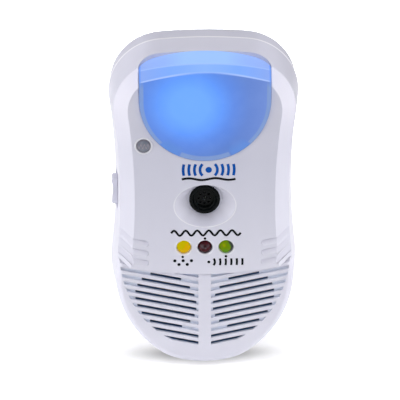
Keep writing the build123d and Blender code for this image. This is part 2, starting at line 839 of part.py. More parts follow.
def pulse_coil_core():
    """Three-legged laminated core."""
    yoke = 2.2
    core = block(coil_x - 7.0, coil_x + 7.0, coil_low - yoke, coil_high + yoke,
                 coil_depth - 3.0, coil_depth + 3.0)
    for x in (coil_x - 3.6, coil_x + 3.6):
        core -= block(x - 1.4, x + 1.4, coil_low, coil_high, 0.0, beyond)
    return core


def coil_passage():
    """Room for the core's middle leg inside the bobbin."""
    return block(coil_x - 2.25, coil_x + 2.25, -beyond, beyond, coil_depth - 3.05, coil_depth + 3.05)


def pulse_coil_bobbin():
    """Square tube with two flanges on the core's middle leg."""
    bobbin = block(coil_x - 2.8, coil_x + 2.8, coil_low, coil_high, coil_depth - 3.6, coil_depth + 3.6)
    for z in (coil_low, coil_high - coil_flange):
        bobbin += block(coil_x - 4.9, coil_x + 4.9, z, z + coil_flange, board_front + 0.3, coil_depth + 6.1)
    return bobbin - coil_passage()


def pulse_coil_winding():
    low = coil_low + coil_flange + seat
    high = coil_high - coil_flange - seat
    turns = Plane.XY.offset(low) * Pos(coil_x, -coil_depth) * RectangleRounded(9.4, 11.8, 2.5)
    tube = block(coil_x - 2.82, coil_x + 2.82, coil_low, coil_high, coil_depth - 3.62, coil_depth + 3.62)
    return extrude(turns, high - low) - tube


def film_capacitor():
    return soft_block(-20.0, -11.2, -14.0, 4.0, board_front + seat, 25.0, 0.8)


def electrolytic_capacitors():
    """Two upright cans with a rolled groove near the board."""
    cans = []
    z = 10.2
    radius = 4.0
    for x in (-12.5, 12.5):
        can = rod(x, z, board_front + seat, 23.5, radius)
        can = fillet(can.faces().sort_by(Axis.Y)[0].edges(), 0.5)
        groove = rod(x, z, 13.4, 14.2, radius + 1.0) - rod(x, z, 13.0, 15.0, radius - 0.3)
        cans.append(can - groove)
    return cans


def ceramic_capacitors():
    """Two upright discs on two legs each."""
    caps = []
    thickness = 1.8
    for x in (-22.3, 22.3):
        disc = extrude(Plane.YZ.offset(x - thickness / 2) * Pos(-14.6, 5.0) * Circle(2.0), thickness)
        for z in (4.0, 6.0):
            disc += rod(x, z, board_front + seat, 13.4, leg_radius)
        caps.append(disc)
    return caps


def controller_chip():
    """Eight-legged chip."""
    chip = block(-3.2, 3.2, 7.0, 16.6, 12.6, 15.9)
    half_leg = 0.25
    leg_depth = 14.1
    for step in range(4):
        z = 8.0 + leg_pitch * step
        leg = block(3.1, 4.0, z - half_leg, z + half_leg, leg_depth - 0.3, leg_depth)
        leg += block(3.75, 4.0, z - half_leg, z + half_leg, board_front + seat, leg_depth - 0.1)
        chip += both_sides(leg)
    return chip


def lying_barrel(x, z0, z1, radius, depth):
    """Barrel lying on the board along z, on two bent legs."""
    barrel = extrude(Plane.XY.offset(z0) * Pos(x, -depth) * Circle(radius), z1 - z0)
    stub = 0.5
    for z in (z0 - stub, z1 + stub):
        barrel += rod(x, z, board_front + seat, depth + leg_radius, leg_radius)
    barrel += extrude(Plane.XY.offset(z0 - stub) * Pos(x, -depth) * Circle(leg_radius), z1 - z0 + 2 * stub)
    return barrel


def resistors():
    return [lying_barrel(-17.5 + 5.0 * step, 19.0, 23.2, 1.1, 13.3) for step in range(8)]


def rectifier_diodes():
    return [lying_barrel(x, -24.2, -19.4, 1.3, 13.6) for x in (-16.6, -13.2, 13.2, 16.6)]


def fuse():
    return lying_barrel(-22.4, -19.6, -13.4, 1.3, 13.6)


def transistors():
    """Two small D-shaped packages, each on three legs."""
    group = []
    z = -15.0
    near = 14.0
    far = 18.6
    for x in (-4.0, 4.0):
        body = rod(x, z, near, far, 2.2) - block(x - 3, x + 3, z - 3.0, z - 1.0, near - 1.0, far + 1.0)
        for step in (-1.2, 0, 1.2):
            body += rod(x + step, z, board_front + seat, near + 0.1, 0.22)
        group.append(body)
    return group


# ---- wires --------------------------------------------------------------------------------

def mains_wires():
    """From the solder tails to the board."""
    right = wire([point(7.95, -2.5, 7.2), point(7.95, 1.0, 7.2), point(8.6, 5.5, 7.9), point(10.6, 8.8, 9.0),
                  point(10.9, 9.4, board_back - 0.35)], 0.7)
    return [right, mirror(right, about=Plane.YZ)]


def speaker_wires():
    """Two from each speaker's back up to the board."""
    wires = []
    for side in (-1, 1):
        for step in (-0.8, 0.8):
            x = side * (speaker_x - 1.0) + step
            wires.append(wire([point(x, speaker_z + 3.0, 16.3), point(x, speaker_z + 8.0, 15.9),
                               point(x - side * 2.5, -30.0, 14.2), point(x - side * 3.0, -26.2, 12.6)], 0.5))
    return wires


def night_light_wires():
    """From the board's top edge through the tray to the night-light board."""
    return [wire([point(x, 22.0, board_front + 0.6), point(x, 25.5, 13.6), point(x, 28.6, 16.8),
                  point(x, 29.4, 19.4), point(x, 30.4, 20.3)], 0.45) for x in (-0.6, 0.6)]


# ---- nodes --------------------------------------------------------------------------------

def group(solids):
    return Compound(children=[solid if isinstance(solid, Solid) else solid.solids()[0] for solid in solids])


nodes = {
    "front_cover": front_cover(),
    "rear_cover": rear_cover(),
    "cover_screws": group(cover_screws()),
    "night_light_lens": night_light_lens(),
    "night_light_reflector": night_light_reflector(),
    "night_light_board": night_light_board(),
    "night_light_leds": group(night_light_leds()),
    "night_light_wires": group(night_light_wires()),
    "photocell": photocell(),
    "photocell_window": photocell_window(),
    "outlet_cap": outlet_cap(),
    "ion_needle": ion_needle(),
    "needle_holder": needle_holder(),
    "ioniser_module": ioniser_module(),
    "led_yellow": indicator(-led_pitch),
    "led_red": indicator(0.0),
    "led_green": indicator(led_pitch),
    "led_spacers": group(led_spacers()),
    "speaker_frames": group(at_speakers(speaker_frame)),
    "speaker_cones": group(at_speakers(speaker_cone)),
    "piezo_discs": group(at_speakers(piezo_disc)),
    "speaker_gaskets": group(at_speakers(speaker_gasket)),
    "speaker_wires": group(speaker_wires()),
    "slide_knob": slide_knob(),
    "slide_switch_slider": slide_switch_slider(),
    "slide_switch_contact": slide_switch_contact(),
    "slide_switch_case": slide_switch_case(),
    "slide_switch_base": slide_switch_base(),
    "slide_switch_terminals": group(slide_switch_terminals()),
    "plug_blades": group(plug_blades()),
    "blade_retainer": blade_retainer(),
    "retainer_screws": group(retainer_screws()),
    "mains_wires": group(mains_wires()),
    "main_circuit_board": main_circuit_board(),
    "board_screws": group(board_screws()),
    "pulse_coil_core": pulse_coil_core(),
    "pulse_coil_bobbin": pulse_coil_bobbin(),
    "pulse_coil_winding": pulse_coil_winding(),
    "film_capacitor": film_capacitor(),
    "electrolytic_capacitors": group(electrolytic_capacitors()),
    "ceramic_capacitors": group(ceramic_capacitors()),
    "controller_chip": controller_chip(),
    "resistors": group(resistors()),
    "rectifier_diodes": group(rectifier_diodes()),
    "transistors": group(transistors()),
    "fuse": fuse(),
}

os.makedirs("parts", exist_ok=True)
for name, shape in nodes.items():
    export_step(shape, f"parts/{name}.step")
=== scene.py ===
import json
import math

import bpy
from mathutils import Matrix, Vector


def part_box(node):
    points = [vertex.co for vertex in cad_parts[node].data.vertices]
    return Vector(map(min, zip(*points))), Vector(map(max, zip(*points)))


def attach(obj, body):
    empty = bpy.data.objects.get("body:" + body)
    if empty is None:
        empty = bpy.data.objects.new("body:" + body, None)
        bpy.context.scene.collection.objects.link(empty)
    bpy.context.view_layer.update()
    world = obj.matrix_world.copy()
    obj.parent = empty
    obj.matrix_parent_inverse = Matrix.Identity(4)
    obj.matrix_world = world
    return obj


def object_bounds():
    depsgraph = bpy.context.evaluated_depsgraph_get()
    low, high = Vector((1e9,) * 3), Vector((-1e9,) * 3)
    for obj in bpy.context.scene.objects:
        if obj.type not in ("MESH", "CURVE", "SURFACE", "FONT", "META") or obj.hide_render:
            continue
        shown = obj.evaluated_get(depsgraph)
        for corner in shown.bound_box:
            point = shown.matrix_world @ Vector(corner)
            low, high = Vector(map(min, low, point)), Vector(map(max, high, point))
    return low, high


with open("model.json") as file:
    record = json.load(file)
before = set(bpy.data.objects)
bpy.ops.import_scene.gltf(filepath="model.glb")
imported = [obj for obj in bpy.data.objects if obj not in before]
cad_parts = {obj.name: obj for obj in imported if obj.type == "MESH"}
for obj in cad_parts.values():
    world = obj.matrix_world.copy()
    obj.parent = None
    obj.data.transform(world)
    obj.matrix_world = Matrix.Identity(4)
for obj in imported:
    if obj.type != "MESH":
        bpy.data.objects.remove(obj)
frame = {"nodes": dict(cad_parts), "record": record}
cad_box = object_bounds()
nodes = frame["nodes"]

# Sizes and places are in millimetres: x to the right, z up, and depth forward from the wall, where
# y is 0. The studio's are in metres, as Blender's are. A pair of limits is the start and the end of a
# soft change from one shade to another.
MM = 0.001


def middle_of(node):
    """The x and z of the middle of a node's box."""
    low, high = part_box(node)
    middle = (low + high) / 2 / MM
    return middle.x, middle.z


cap_middle = middle_of("outlet_cap")
window_middle = middle_of("photocell_window")
lamp_middles = {lamp: middle_of(lamp) for lamp in ("led_yellow", "led_red", "led_green")}

# The housing, as the frame has it.
panel_depth = 30.5
panel_front = (29.6, 30.2)
band_back = (27.4, 27.7)
# Where the painted highlight on the band and the painted shade behind it start: a height, and an x for
# the right.
shoulder_start = (18.0, 34.0)
right_shoulder = (20.0, 31.0)
dish_middle = (0.0, -4.2)
dish_half = (10.9, 8.2)
# A painted shadow in the joint between the covers and a painted highlight on the edge in front of it:
# where each starts and ends in depth.
joint_shadow_band = ((9.2, 9.6), (10.0, 10.03))
joint_highlight_band = ((10.03, 10.1), (10.7, 11.1))
# Painted shade on the housing: the heights over which it darkens upwards, and over which the front's
# shade changes.
painted_height_shade = (-65.0, 25.0)
painted_front_shade_ends = (-35.0, 45.0)

# Painted highlights on the rims: the radius of each pale line and its half width. The dish's are shares
# of its oval.
window_highlight = (3.0, 0.35)
lamp_highlight = (3.05, 0.4)
dish_highlight = (1.02, 0.025)

# The grille: its slots lie inside an oval. Some end in a floor, and some are open to the speakers.
grille_middle = (0.0, -24.0)
grille_half = (30.8, 37.8)
grille_top = (-30.2, -29.2)
grille_back = (26.0, 26.2)
# Depths past which the painted shade starts: pale on the slot floors, nearly navy deeper in the open
# slots.
slot_floor = (28.8, 29.1)
open_slot = (28.1, 28.3)

# The lens: a dome under a bevelled strip and a top face, with a flange round the foot.
lens_low, lens_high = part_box("night_light_lens")
flange_rim = 0.8
lens_half = (lens_high.x - lens_low.x) / MM / 2 - flange_rim
lens_round_z = lens_low.z / MM + flange_rim + lens_half
dome_radius = 60.0
dome_z = 39.2
dome_depth = 36.45
strip_radius = 42.0
strip_z = 48.6
strip_depth = 35.8
strip_slope = 0.48
lens_top_radius = 64.0
glow_middle = (-5.4, 36.5)
glow_reach = 32.0
grey_side = (8.0, 21.0)
colour_half = 24.0

# How far up a lens face looks, which places the painted light on the strip and the top face: the upward
# share of its normal.
strip_tilt = (0.28, 0.32)
top_tilt = (0.55, 0.75)

# How brightly the lens and the lit lamps glow, and the housing's own white.
GLOW = 0.95
WHITE = (0.79, 0.785, 0.885)
WHITE_SHADE = (0.765, 0.76, 0.865)


# ---- material helpers ----------------------------------------------------------------------

class Graph:
    """A material's node tree, with short calls to add and join nodes."""

    def __init__(self, name):
        self.material = bpy.data.materials.new(name)
        self.material.use_nodes = True
        self.tree = self.material.node_tree
        self.tree.nodes.clear()
        self.output = self.add("ShaderNodeOutputMaterial")

    def add(self, kind, **settings):
        node = self.tree.nodes.new(kind)
        for key, value in settings.items():
            setattr(node, key, value)
        return node

    def join(self, source, target):
        self.tree.links.new(source, target)

    def put(self, socket, value):
        """Set a socket to a number or colour, or join it to another node's output."""
        if isinstance(value, bpy.types.NodeSocket):
            self.join(value, socket)
        elif isinstance(value, (tuple, list)) and len(value) == 3 and socket.type == "RGBA":
            socket.default_value = (*value, 1.0)
        else:
            socket.default_value = value

    # Numbers.

    def math(self, operation, first, second=0.0):
        node = self.add("ShaderNodeMath", operation=operation)
        self.put(node.inputs[0], first)
        self.put(node.inputs[1], second)
        return node.outputs[0]

    def plus(self, first, second):
        return self.math("ADD", first, second)

    def minus(self, first, second):
        return self.math("SUBTRACT", first, second)

    def times(self, first, second):
        return self.math("MULTIPLY", first, second)

    def over(self, first, second):
        return self.math("DIVIDE", first, second)

    def larger(self, first, second):
        return self.math("MAXIMUM", first, second)

    def smaller(self, first, second):
        return self.math("MINIMUM", first, second)

    def unsigned(self, value):
        return self.math("ABSOLUTE", value)

    def length(self, first, second):
        squares = self.plus(self.times(first, first), self.times(second, second))
        return self.math("SQRT", squares)

    def ramp(self, factor, low, high, start, end):
        """A factor from low to high turned into a value from start to end."""
        node = self.add("ShaderNodeMapRange")
        self.put(node.inputs["Value"], factor)
        node.inputs["From Min"].default_value = low
        node.inputs["From Max"].default_value = high
        node.inputs["To Min"].default_value = start
        node.inputs["To Max"].default_value = end
        return node.outputs["Result"]

    # Masks: 1 where something shows and 0 where it doesn't.

    def rise(self, value, low, high):
        return self.ramp(value, low, high, 0.0, 1.0)

    def fall(self, value, low, high):
        return self.ramp(value, low, high, 1.0, 0.0)

    def between(self, value, start, end):
        """A mask with two pairs of limits: it starts in the first and ends in the second."""
        return self.times(self.rise(value, *start), self.fall(value, *end))

    def outside(self, mask):
        return self.minus(1.0, mask)

    def patch(self, right, above, x, z, radius, soft):
        """A round spot."""
        distance = self.length(self.minus(right, x), self.minus(above, z))
        return self.fall(distance, radius - soft, radius + soft)

    def ring(self, distance, radius, half_width):
        """1 on a circle of this radius, falling to 0 either side."""
        return self.fall(self.unsigned(self.minus(distance, radius)), 0.0, half_width)

    # Places on the surface.

    def point(self):
        return self.add("ShaderNodeTexCoord").outputs["Object"]

    def place(self):
        """The x, the depth and the z of the surface point."""
        split = self.add("ShaderNodeSeparateXYZ")
        self.join(self.point(), split.inputs[0])
        x, y, z = split.outputs
        return self.times(x, 1 / MM), self.times(y, -1 / MM), self.times(z, 1 / MM)

    def facing(self):
        """The x, y and z of the surface's normal."""
        split = self.add("ShaderNodeSeparateXYZ")
        self.join(self.add("ShaderNodeTexCoord").outputs["Normal"], split.inputs[0])
        return split.outputs

    def from_middle(self, middle):
        """Distances right of and above a middle."""
        x, _, z = self.place()
        return self.minus(x, middle[0]), self.minus(z, middle[1])

    def oval(self, middle, half):
        """1 on an oval round a middle, less inside it and more outside it."""
        right, above = self.from_middle(middle)
        return self.length(self.over(right, half[0]), self.over(above, half[1]))

    def noise(self, size, detail=3.0, stretch=(1, 1, 1)):
        """Noise whose features are about this many millimetres across."""
        mapping = self.add("ShaderNodeMapping")
        self.join(self.point(), mapping.inputs[0])
        mapping.inputs["Scale"].default_value = [axis / (size * MM) for axis in stretch]
        node = self.add("ShaderNodeTexNoise")
        self.join(mapping.outputs[0], node.inputs["Vector"])
        node.inputs["Scale"].default_value = 1.0
        node.inputs["Detail"].default_value = detail
        node.inputs["Roughness"].default_value = 0.55
        return node.outputs["Fac"]

    # Colours and surfaces.

    def mix(self, factor, first, second, blend="MIX"):
        node = self.add("ShaderNodeMix", data_type="RGBA", blend_type=blend)
        self.put(node.inputs["Factor"], factor)
        self.put(node.inputs[6], first)
        self.put(node.inputs[7], second)
        return node.outputs[2]

    def paint(self, tint, mask, colour, strength):
        """A tint covered with a colour, up to a strength, where a mask is 1."""
        return self.mix(self.times(mask, strength), tint, colour)

    def shade(self, tint, mask, colour):
        """A tint multiplied by a colour where a mask is 1."""
        return self.mix(mask, tint, colour, "MULTIPLY")

    def colours(self, factor, stops):
        """A colour read off a list of (place, colour), from place 0 to place 1."""
        node = self.add("ShaderNodeValToRGB")
        self.join(factor, node.inputs[0])
        row = node.color_ramp.elements
        for place, _ in stops[1:-1]:
            row.new(place)
        for stop, (_, colour) in zip(row, stops):
            stop.color = (*colour, 1.0)
        return node.outputs[0]

    def bump(self, height, strength, distance, normal):
        node = self.add("ShaderNodeBump")
        node.inputs["Strength"].default_value = strength
        node.inputs["Distance"].default_value = distance * MM
        self.join(height, node.inputs["Height"])
        self.join(normal, node.inputs["Normal"])
        return node.outputs[0]

    def rounded(self, radius):
        """A normal that rounds every edge off to this radius."""
        node = self.add("ShaderNodeBevel", samples=4)
        node.inputs["Radius"].default_value = radius * MM
        return node.outputs[0]

    def surface(self, **values):
        """A principled surface joined to the output."""
        node = self.add("ShaderNodeBsdfPrincipled")
        for key, value in values.items():
            self.put(node.inputs[key.replace("_", " ")], value)
        self.join(node.outputs[0], self.output.inputs["Surface"])


def flow_marks(g, colour, shade):
    """A moulded plastic's colour, with faint marks where it flowed."""
    flow = g.noise(22.0, detail=2.0, stretch=(1, 1, 0.35))
    return g.mix(g.rise(flow, 0.35, 0.7), colour, shade)


def moulded_surface(g, tint, roughness=0.38, grain=0.18, grain_depth=0.004, edge=0.18, specular=0.4):
    """A moulded plastic's fine spark-eroded grain, soft edges and handling wear."""
    fine = g.noise(grain, detail=2.0)
    smudge = g.noise(11.0, detail=4.0)
    gloss = g.ramp(smudge, 0.35, 0.7, roughness - 0.05, roughness + 0.07)
    normal = g.bump(fine, 0.35, grain_depth, g.rounded(edge))
    g.surface(Base_Color=tint, Roughness=gloss, Normal=normal, Specular_IOR_Level=specular)


def moulded(name, colour, shade, **finish):
    """Plain moulded plastic."""
    g = Graph(name)
    moulded_surface(g, flow_marks(g, colour, shade), **finish)
    return g.material


def metal(name, colour, roughness, stretch):
    """Metal with brushing or plating mottle and slight tarnish."""
    g = Graph(name)
    brush = g.noise(0.4, detail=4.0, stretch=stretch)
    tarnish = g.noise(4.0, detail=4.0)
    dull = tuple(0.62 * channel for channel in colour)
    tint = g.paint(colour, g.rise(tarnish, 0.45, 0.8), dull, 0.55)
    gloss = g.ramp(brush, 0.3, 0.7, roughness - 0.08, roughness + 0.1)
    normal = g.bump(brush, 0.25, 0.01, g.rounded(0.08))
    g.surface(Base_Color=tint, Metallic=1.0, Roughness=gloss, Normal=normal)
    return g.material


# ---- the housing ---------------------------------------------------------------------------

def shell_material():
    """White housing plastic, with painted shade and highlights: by height and by face, in the grille, at
    the joint and on the rims.
    """
    g = Graph("white_shell")
    tint = flow_marks(g, WHITE, WHITE_SHADE)
    # Painted light: shade and highlights on the housing, shade in the grille, a shadow and highlight at
    # the joint, highlights on the rims.
    tint = painted_shell_shading(g, tint)
    tint = painted_grille_shade(g, tint)
    tint = painted_joint_lines(g, tint)
    tint = painted_rim_highlights(g, tint)
    moulded_surface(g, tint, roughness=0.41, edge=0.3, specular=0.35)
    return g.material


def painted_shell_shading(g, tint):
    """Painted shade with height, on the front and on the side walls, and a painted highlight and shade
    round the shoulders.
    """
    x, depth, z = g.place()
    normal_x, normal_y, _ = g.facing()
    # Painted shade: darker towards the top of the body.
    tint = g.shade(tint, g.rise(z, *painted_height_shade), (0.84, 0.84, 0.86))

    # Painted shade: the panel is a shade greyer round its middle than at either end, and the side walls
    # are darker.
    on_front = g.rise(g.unsigned(normal_y), 0.95, 0.99)
    painted_front_shade = g.colours(g.rise(z, *painted_front_shade_ends), [
        (0.0, (0.97, 0.97, 0.975)), (0.5, (0.895, 0.90, 0.915)), (0.6, (0.89, 0.895, 0.91)),
        (0.85, (0.99, 0.99, 0.99)), (1.0, (1.0, 1.0, 1.0))])
    tint = g.shade(tint, on_front, painted_front_shade)
    on_side = g.rise(g.unsigned(normal_x), 0.4, 0.9)
    tint = g.shade(tint, on_side, (0.86, 0.86, 0.86))

    # A painted highlight on the band round the shoulders, and painted shade on the wall behind it on the
    # right.
    high_up = g.rise(z, *shoulder_start)
    on_band = g.times(g.rise(depth, *band_back), g.outside(on_front))
    tint = g.shade(tint, g.times(on_band, high_up), (1.14, 1.13, 1.11))
    behind_band = g.times(g.fall(depth, *band_back), high_up)
    return g.shade(tint, g.times(behind_band, g.rise(x, *right_shoulder)), (0.84, 0.84, 0.84))


def painted_grille_shade(g, tint):
    """Painted shade in the grille: a cool tint on the slot floors, nearly navy on the walls of the open
    slots.
    """
    _, depth, z = g.place()
    in_grille = g.fall(g.oval(grille_middle, grille_half), 1.0, 1.01)
    in_grille = g.times(in_grille, g.fall(z, *grille_top))
    in_grille = g.times(in_grille, g.rise(depth, *grille_back))
    tint = g.mix(g.times(g.fall(depth, *slot_floor), in_grille), tint, (0.71, 0.75, 0.87))
    return g.mix(g.times(g.fall(depth, *open_slot), in_grille), tint, (0.09, 0.17, 0.34))


def painted_joint_lines(g, tint):
    """The parting line between the covers: a painted shadow in the joint, and a painted highlight on the
    edge in front of it.
    """
    _, depth, _ = g.place()
    tint = g.paint(tint, g.between(depth, *joint_shadow_band), (0.30, 0.29, 0.36), 0.75)
    return g.paint(tint, g.between(depth, *joint_highlight_band), (0.97, 0.96, 1.0), 0.7)


def painted_rim_highlights(g, tint):
    """Painted highlights on the rims round the photocell, the lamps and the dish, the dish's strongest
    low down.
    """
    _, depth, z = g.place()
    rims = g.ring(g.length(*g.from_middle(window_middle)), *window_highlight)
    for middle in lamp_middles.values():
        lamp_rim = g.ring(g.length(*g.from_middle(middle)), *lamp_highlight)
        rims = g.larger(rims, g.times(lamp_rim, 0.5))
    dish_rim = g.ring(g.oval(dish_middle, dish_half), *dish_highlight)
    low_side = g.ramp(z, dish_middle[1] - 3.0, dish_middle[1] + 8.0, 1.0, 0.35)
    rims = g.larger(rims, g.times(dish_rim, low_side))
    return g.paint(tint, g.times(rims, g.rise(depth, *panel_front)), (1.0, 1.0, 1.0), 0.6)


# ---- the lens ------------------------------------------------------------------------------

def lens_material():
    """Translucent blue lens lit from inside, brightest over the lamps, with painted light on the upward
    top and bevel strip and painted highlights on the crease and ridge.
    """
    g = Graph("blue_lens")
    x, _, z = g.place()
    _, _, upward = g.facing()
    on_strip = g.rise(upward, *strip_tilt)
    on_top = g.rise(upward, *top_tilt)
    # Painted light: the strip and the top face paler where they face up.
    tint = g.mix(on_strip, dome_glow(g, x), strip_glow_and_painted_light(g, x))
    tint = g.mix(on_top, tint, top_glow_and_painted_light(g, x))
    # Painted highlights on the crease and the ridge.
    tint = crease_highlight(g, tint, x, z)
    tint = ridge_highlight(g, tint, x, z, on_top)
    tint = lens_border(g, tint, x, z)

    ripple = g.noise(6.0)
    tint = g.paint(tint, g.rise(ripple, 0.35, 0.7), (0.4, 0.6, 1.0), 0.05)
    normal = g.bump(g.noise(0.5, detail=2.0), 0.2, 0.006, g.rounded(0.12))
    g.surface(Base_Color=(0.02, 0.05, 0.12), Roughness=g.ramp(ripple, 0.3, 0.7, 0.30, 0.42),
              Normal=normal, Emission_Color=tint, Emission_Strength=GLOW, Specular_IOR_Level=0.08)
    return g.material


def dome_glow(g, x):
    """Brightest in front of the lamps inside, and greyer on the right."""
    far = g.over(g.length(*g.from_middle(glow_middle)), glow_reach)
    dome = g.colours(far, [
        (0.0, (0.160, 0.40, 1.0)), (0.20, (0.155, 0.390, 1.0)), (0.34, (0.118, 0.310, 0.95)),
        (0.48, (0.106, 0.232, 0.735)), (0.66, (0.100, 0.19, 0.56)), (1.0, (0.100, 0.17, 0.45))])
    return g.paint(dome, g.rise(x, *grey_side), (0.180, 0.262, 0.63), 0.6)


def strip_glow_and_painted_light(g, x):
    """The bevelled strip above the dome: its glow, painted paler as light falling on a face that tilts
    up.
    """
    return g.colours(g.over(g.unsigned(x), colour_half), [
        (0.0, (0.262, 0.455, 1.0)), (0.5, (0.215, 0.40, 0.95)), (1.0, (0.262, 0.375, 0.80))])


def top_glow_and_painted_light(g, x):
    """The top face: its glow, painted palest as light falling on an upward face, most of all in the
    middle.
    """
    return g.colours(g.over(g.unsigned(x), colour_half), [
        (0.0, (0.361, 0.565, 1.0)), (0.3, (0.361, 0.565, 1.0)), (0.6, (0.318, 0.47, 0.95)),
        (1.0, (0.30, 0.42, 0.85))])


def crease_highlight(g, tint, x, z):
    """Painted highlight: a thin light line where the dome meets the strip, fading in the middle."""
    across = g.times(x, x)
    up = g.minus(z, dome_z)
    dome_square = g.minus(dome_radius ** 2, g.plus(across, g.times(up, up)))
    dome_face = g.minus(g.math("SQRT", dome_square), dome_radius - dome_depth)
    level_radius = g.minus(strip_radius + strip_slope * strip_z, g.times(z, strip_slope))
    strip_square = g.minus(g.times(level_radius, level_radius), across)
    strip_face = g.minus(g.math("SQRT", strip_square), strip_radius - strip_depth)
    crease = g.fall(g.unsigned(g.minus(strip_face, dome_face)), 0.05, 0.16)
    crease = g.times(crease, g.ramp(g.unsigned(x), 3.0, 12.0, 0.3, 0.9))
    return g.mix(g.times(crease, g.rise(z, 38.0, 40.0)), tint, (0.43, 0.57, 0.96))


def ridge_highlight(g, tint, x, z, on_top):
    """Painted highlight: a thin light line along the ridge where the strip meets the top face."""
    top_square = g.minus(lens_top_radius ** 2, g.times(x, x))
    ridge_z = g.plus(g.math("SQRT", top_square), lens_high.z / MM - lens_top_radius)
    ridge = g.times(g.fall(g.minus(ridge_z, z), 0.15, 0.5), g.outside(on_top))
    return g.paint(tint, ridge, (0.42, 0.58, 0.97), 0.7)


def lens_border(g, tint, x, z):
    """Deep blue vertical edges, and the flange showing through the rim in three pale lengths."""
    edge_start = (lens_round_z + 1.0, lens_round_z + 4.0)
    edge_width = (0.35, 0.75)
    side_end = (lens_round_z + 5.0, lens_round_z + 8.0)
    rim_width = (1.35, 1.65)
    low_rim_width = (1.9, 2.4)
    gap_width = (2.0, 5.0)
    border_width = (0.0, 0.25)

    # The turn round the lower half is 0 straight down and 1 straight out to either side.
    bottom_turn = (0.385, 0.405)
    side_turn = (0.69, 0.71)
    gap_turns = ((0.40, 0.44), (0.66, 0.72))

    aside = g.unsigned(x)
    edge = g.minus(lens_half, aside)
    deep_edge = g.times(g.fall(edge, *edge_width), g.rise(z, *edge_start))
    tint = g.paint(tint, deep_edge, (0.11, 0.27, 0.86), 0.8)

    drop = g.smaller(g.minus(z, lens_round_z), 0.0)
    out = g.length(x, drop)
    inside = g.minus(lens_half, out)
    turn = g.over(aside, g.larger(out, 0.1))
    bottom_length = g.fall(turn, *bottom_turn)
    side_length = g.times(g.rise(turn, *side_turn), g.fall(z, *side_end))
    rim = g.times(g.fall(inside, *rim_width), g.larger(bottom_length, side_length))
    low_rim = g.times(g.fall(inside, *low_rim_width), bottom_length)
    gap = g.times(g.fall(inside, *gap_width), g.between(turn, *gap_turns))
    tint = g.paint(tint, gap, (0.098, 0.222, 0.61), 0.8)
    tint = g.paint(tint, g.larger(rim, low_rim), (0.215, 0.30, 0.53), 0.85)
    border = g.fall(g.smaller(inside, edge), *border_width)
    return g.paint(tint, border, (0.20, 0.25, 0.45), 0.5)


# ---- lamps, photocell, ion outlet and board ------------------------------------------------

def lit_lamp(g, base, tint):
    """A lamp's cap with its light showing in it."""
    g.surface(Base_Color=base, Roughness=0.35, Emission_Color=tint, Emission_Strength=GLOW,
              Specular_IOR_Level=0.04)


def yellow_lamp():
    """Lit lamp: amber, turning lemon up and to the left, with a green fleck near the right edge."""
    g = Graph("led_yellow")
    right, above = g.from_middle(lamp_middles["led_yellow"])
    cloud = g.times(g.minus(g.noise(1.1, detail=2.0), 0.5), 2.4)
    slant = g.plus(g.minus(above, right), cloud)
    tint = g.mix(g.rise(slant, 0.2, 0.7), (0.64, 0.385, 0.0), (0.53, 0.43, 0.0))
    tint = g.mix(g.patch(right, above, 2.1, 1.0, 0.35, 0.15), tint, (0.30, 0.36, 0.02))
    lit_lamp(g, (0.03, 0.02, 0.0), tint)
    return g.material


def red_lamp():
    """Unlit dark red lamp with its grey posts showing through the cap."""
    g = Graph("led_red")
    right, above = g.from_middle(lamp_middles["led_red"])
    tint = g.mix(g.rise(g.noise(0.9), 0.4, 0.65), (0.066, 0.007, 0.012), (0.036, 0.004, 0.007))
    left_post = g.patch(right, above, -0.9, 0.5, 0.75, 0.35)
    right_post = g.patch(right, above, 0.9, 0.6, 0.6, 0.35)
    gap = g.patch(right, above, 0.0, 0.6, 0.45, 0.3)
    chip = g.patch(right, above, 0.2, -0.1, 0.3, 0.2)
    tint = g.mix(left_post, tint, (0.085, 0.060, 0.070))
    tint = g.mix(right_post, tint, (0.075, 0.045, 0.055))
    tint = g.mix(gap, tint, (0.018, 0.007, 0.008))
    tint = g.mix(chip, tint, (0.10, 0.09, 0.10))
    ring = g.fall(g.unsigned(g.minus(g.length(right, above), 1.75)), 0.1, 0.35)
    low_ring = g.times(ring, g.fall(above, -1.0, 0.2))
    tint = g.paint(tint, low_ring, (0.11, 0.06, 0.065), 0.5)
    g.surface(Base_Color=tint, Roughness=0.3, Specular_IOR_Level=0.06, Coat_Weight=0.03,
              Coat_Roughness=0.2)
    return g.material


def green_lamp():
    """Lit green lamp: olive speckle, a pale patch on the left and a dark crescent on the right."""
    g = Graph("led_green")
    right, above = g.from_middle(lamp_middles["led_green"])
    tint = g.mix(g.rise(g.noise(0.8), 0.42, 0.62), (0.120, 0.250, 0.001), (0.16, 0.19, 0.005))
    tint = g.mix(g.patch(right, above, -0.7, 0.9, 0.55, 0.35), tint, (0.25, 0.31, 0.0))
    tint = g.mix(g.patch(right, above, -0.2, -1.6, 1.0, 0.5), tint, (0.09, 0.24, 0.01))
    crescent = g.outside(g.patch(right, above, -0.75, -0.15, 2.45, 0.25))
    crescent = g.times(crescent, g.rise(right, 0.3, 1.2))
    tint = g.paint(tint, crescent, (0.022, 0.02, 0.045), 0.9)
    speck = g.rise(g.noise(0.6, detail=1.0), 0.60, 0.68)
    speck = g.times(speck, g.ramp(above, -1.5, 0.5, 1.0, 0.3))
    tint = g.paint(tint, speck, (0.03, 0.07, 0.005), 0.7)
    lit_lamp(g, (0.015, 0.025, 0.0), tint)
    return g.material


